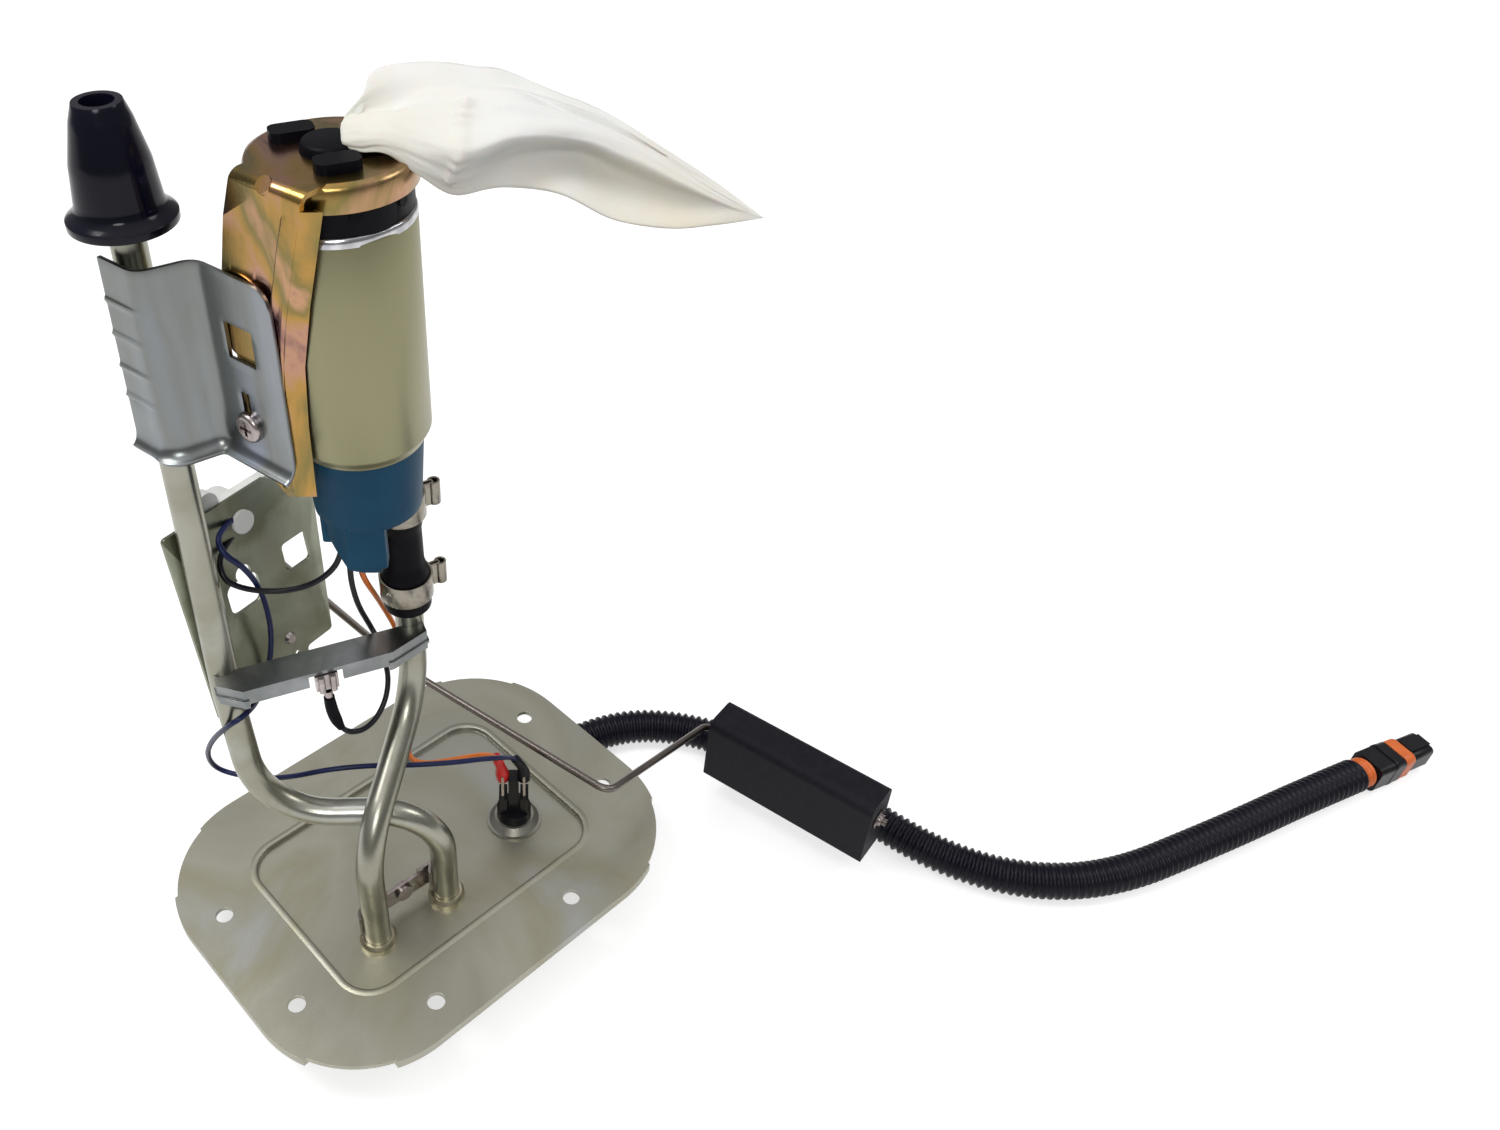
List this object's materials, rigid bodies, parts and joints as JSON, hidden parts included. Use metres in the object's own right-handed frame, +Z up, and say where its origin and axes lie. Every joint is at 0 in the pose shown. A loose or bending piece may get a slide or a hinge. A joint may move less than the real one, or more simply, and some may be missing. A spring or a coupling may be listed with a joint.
{
  "type": "fuel pump module",
  "caption": "In-tank fuel pump module: flange plate with bent steel tubes, bracketed electric pump with filter sock, level sender with float arm, and a corrugated harness.",
  "frame": {"origin": "centre of the flange plate on its tank-side face", "axes": "+X along the plate's long side, +Z up through the tubes into the tank"},
  "size_m": [0.3755, 0.2548, 0.2655],
  "materials": {
    "black_plastic": "moulded",
    "black_rubber": "satin",
    "blue_plastic": "moulded",
    "braze": "bright brazed joint",
    "bright_zinc": "bright zinc",
    "bronze": "sintered bush",
    "can": "satin can",
    "carbon": "carbon",
    "card": "printed card",
    "copper": "wound copper",
    "dark_steel": "dark steel",
    "ferrite": "ferrite",
    "float_foam": "closed-cell foam",
    "loom_black": "corrugated tube",
    "orange_rubber": "satin",
    "red_plastic": "moulded sleeve",
    "sock_cloth": "woven filter cloth",
    "spring_steel": "drawn wire",
    "tube_steel": "satin plated steel tube",
    "white_plastic": "moulded",
    "yellow_zinc": "yellow chromate zinc",
    "zinc": "satin zinc plate"
  },
  "bodies": {
    "module": {"black_sleeve": "black_plastic", "bracket_screw": "bright_zinc", "braze_rings": "braze", "brush_springs": "spring_steel", "brushes": "carbon", "check_spring": "spring_steel", "connector_body": "black_plastic", "connector_latch": "black_plastic", "connector_pins": "copper", "connector_ring_seal": "orange_rubber", "connector_seal": "orange_rubber", "crossbar": "dark_steel", "filter_sock": "sock_cloth", "flange_plate": "zinc", "fuel_hose": "black_rubber", "gland_disc": "bright_zinc", "ground_terminal": "bright_zinc", "harness_gland": "black_plastic", "harness_loom": "loom_black", "lower_bearing": "bronze", "lower_hose_clamp": "dark_steel", "magnets": "ferrite", "pump_bracket": "yellow_zinc", "pump_can": "can", "pump_channel_plate": "black_plastic", "pump_end_cap": "blue_plastic", "pump_inlet_housing": "black_plastic", "red_sleeve": "red_plastic", "relief_spring": "spring_steel", "return_tube": "tube_steel", "rubber_isolator": "black_rubber", "sender_card": "card", "sender_housing": "white_plastic", "sender_plate": "zinc", "sender_rivet": "bright_zinc", "supply_tube": "tube_steel", "terminal_blades": "copper", "tie_rivet": "bright_zinc", "tube_bracket": "bright_zinc", "tube_tie_strap": "bright_zinc", "upper_bearing": "bronze", "upper_hose_clamp": "dark_steel", "vent_cone": "black_rubber"},
    "float_arm_body": {"wiper_hub": "white_plastic", "float_arm": "spring_steel", "float_push_nut": "bright_zinc"},
    "float_body": {"float": "float_foam"},
    "pump_rotor": {"rotor_shaft": "spring_steel", "commutator": "copper", "armature": "dark_steel", "impeller": "black_plastic"},
    "check_valve": {"check_poppet": "white_plastic"},
    "relief_valve": {"relief_ball": "spring_steel"}
  },
  "joints": [
    {"name": "float_arm_pivot", "type": "hinge", "parent": "module", "child": "float_arm_body", "pos_m": [-0.02518, 0.04466, 0.12452], "axis": [0.1725, -0.9785, 0.1134], "range_deg": [0, 60]},
    {"name": "float_spin", "type": "hinge", "parent": "float_arm_body", "child": "float_body", "pos_m": [0.1096, -0.06181, 0.0042], "axis": [-0.1736, 0.9848, 0], "continuous": true},
    {"name": "rotor_spin", "type": "hinge", "parent": "module", "child": "pump_rotor", "pos_m": [-0.00276, 0.00469, 0.18], "axis": [0, 0, 1], "continuous": true},
    {"name": "check_slide", "type": "slide", "parent": "module", "child": "check_valve", "axis": [0, 0, -1], "range_m": [0, 0.002], "stiffness_N_per_m": 50, "springref_m": -0.002, "deforming": ["check_spring"]},
    {"name": "relief_slide", "type": "slide", "parent": "module", "child": "relief_valve", "axis": [0, 0, -1], "range_m": [0, 0.0012], "stiffness_N_per_m": 80, "springref_m": -0.001, "deforming": ["relief_spring"]}
  ]
}
